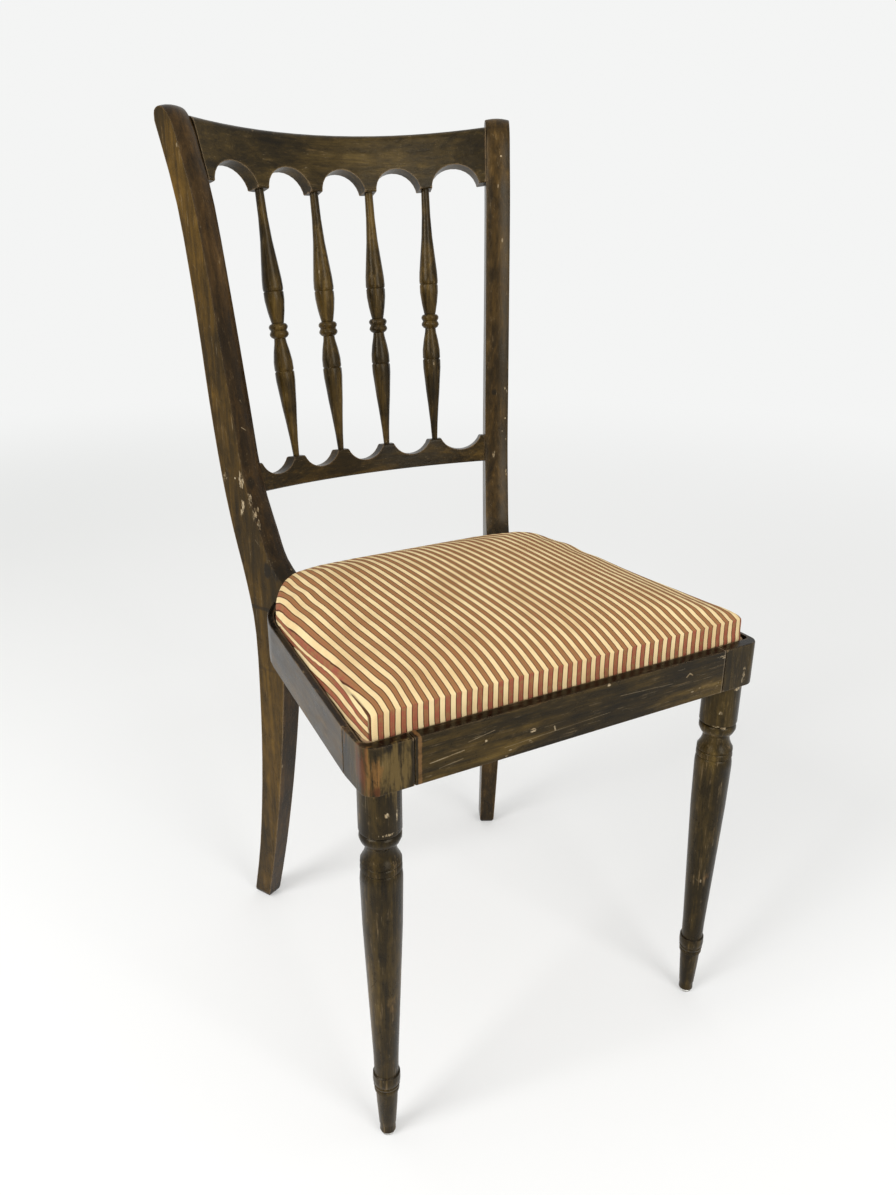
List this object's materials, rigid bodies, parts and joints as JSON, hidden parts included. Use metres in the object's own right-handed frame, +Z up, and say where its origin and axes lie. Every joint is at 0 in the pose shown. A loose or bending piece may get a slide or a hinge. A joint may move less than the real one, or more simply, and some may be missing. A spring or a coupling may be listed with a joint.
{
  "type": "dining chair",
  "caption": "Old dining chair with turned front legs, sabre back posts, an arched crest rail over turned spindles and a striped drop-in seat in a bent frame",
  "frame": {"origin": "on the floor under the middle of the chair's bounding box", "axes": "+X across the chair to the right as seen from the front, which the names left and right follow; +Y from the front legs to the back; +Z up"},
  "size_m": [0.414, 0.5016, 0.9024],
  "materials": {
    "varnished_wood": "dark varnish, rubbed, scratched and chipped",
    "striped_cloth": "woven stripes of terracotta and cream",
    "bare_wood": "unfinished",
    "screw_steel": "dull with age",
    "glide_steel": "worn"
  },
  "bodies": {
    "root": {"front_leg_left": "varnished_wood", "front_leg_right": "varnished_wood", "front_rail": "varnished_wood", "seat_hoop": "varnished_wood", "post_left": "varnished_wood", "post_right": "varnished_wood", "crest_rail": "varnished_wood", "lower_back_rail": "varnished_wood", "spindle_1": "varnished_wood", "spindle_2": "varnished_wood", "spindle_3": "varnished_wood", "spindle_4": "varnished_wood", "seat_cushion": "striped_cloth", "seat_board": "bare_wood", "corner_brace_left": "bare_wood", "corner_brace_right": "bare_wood", "brace_screw_front_left": "screw_steel", "brace_screw_front_right": "screw_steel", "brace_screw_side_left": "screw_steel", "brace_screw_side_right": "screw_steel", "post_screw_left_lower": "screw_steel", "post_screw_left_upper": "screw_steel", "post_screw_right_lower": "screw_steel", "post_screw_right_upper": "screw_steel", "glide_left": "glide_steel", "glide_right": "glide_steel"}
  },
  "joints": []
}
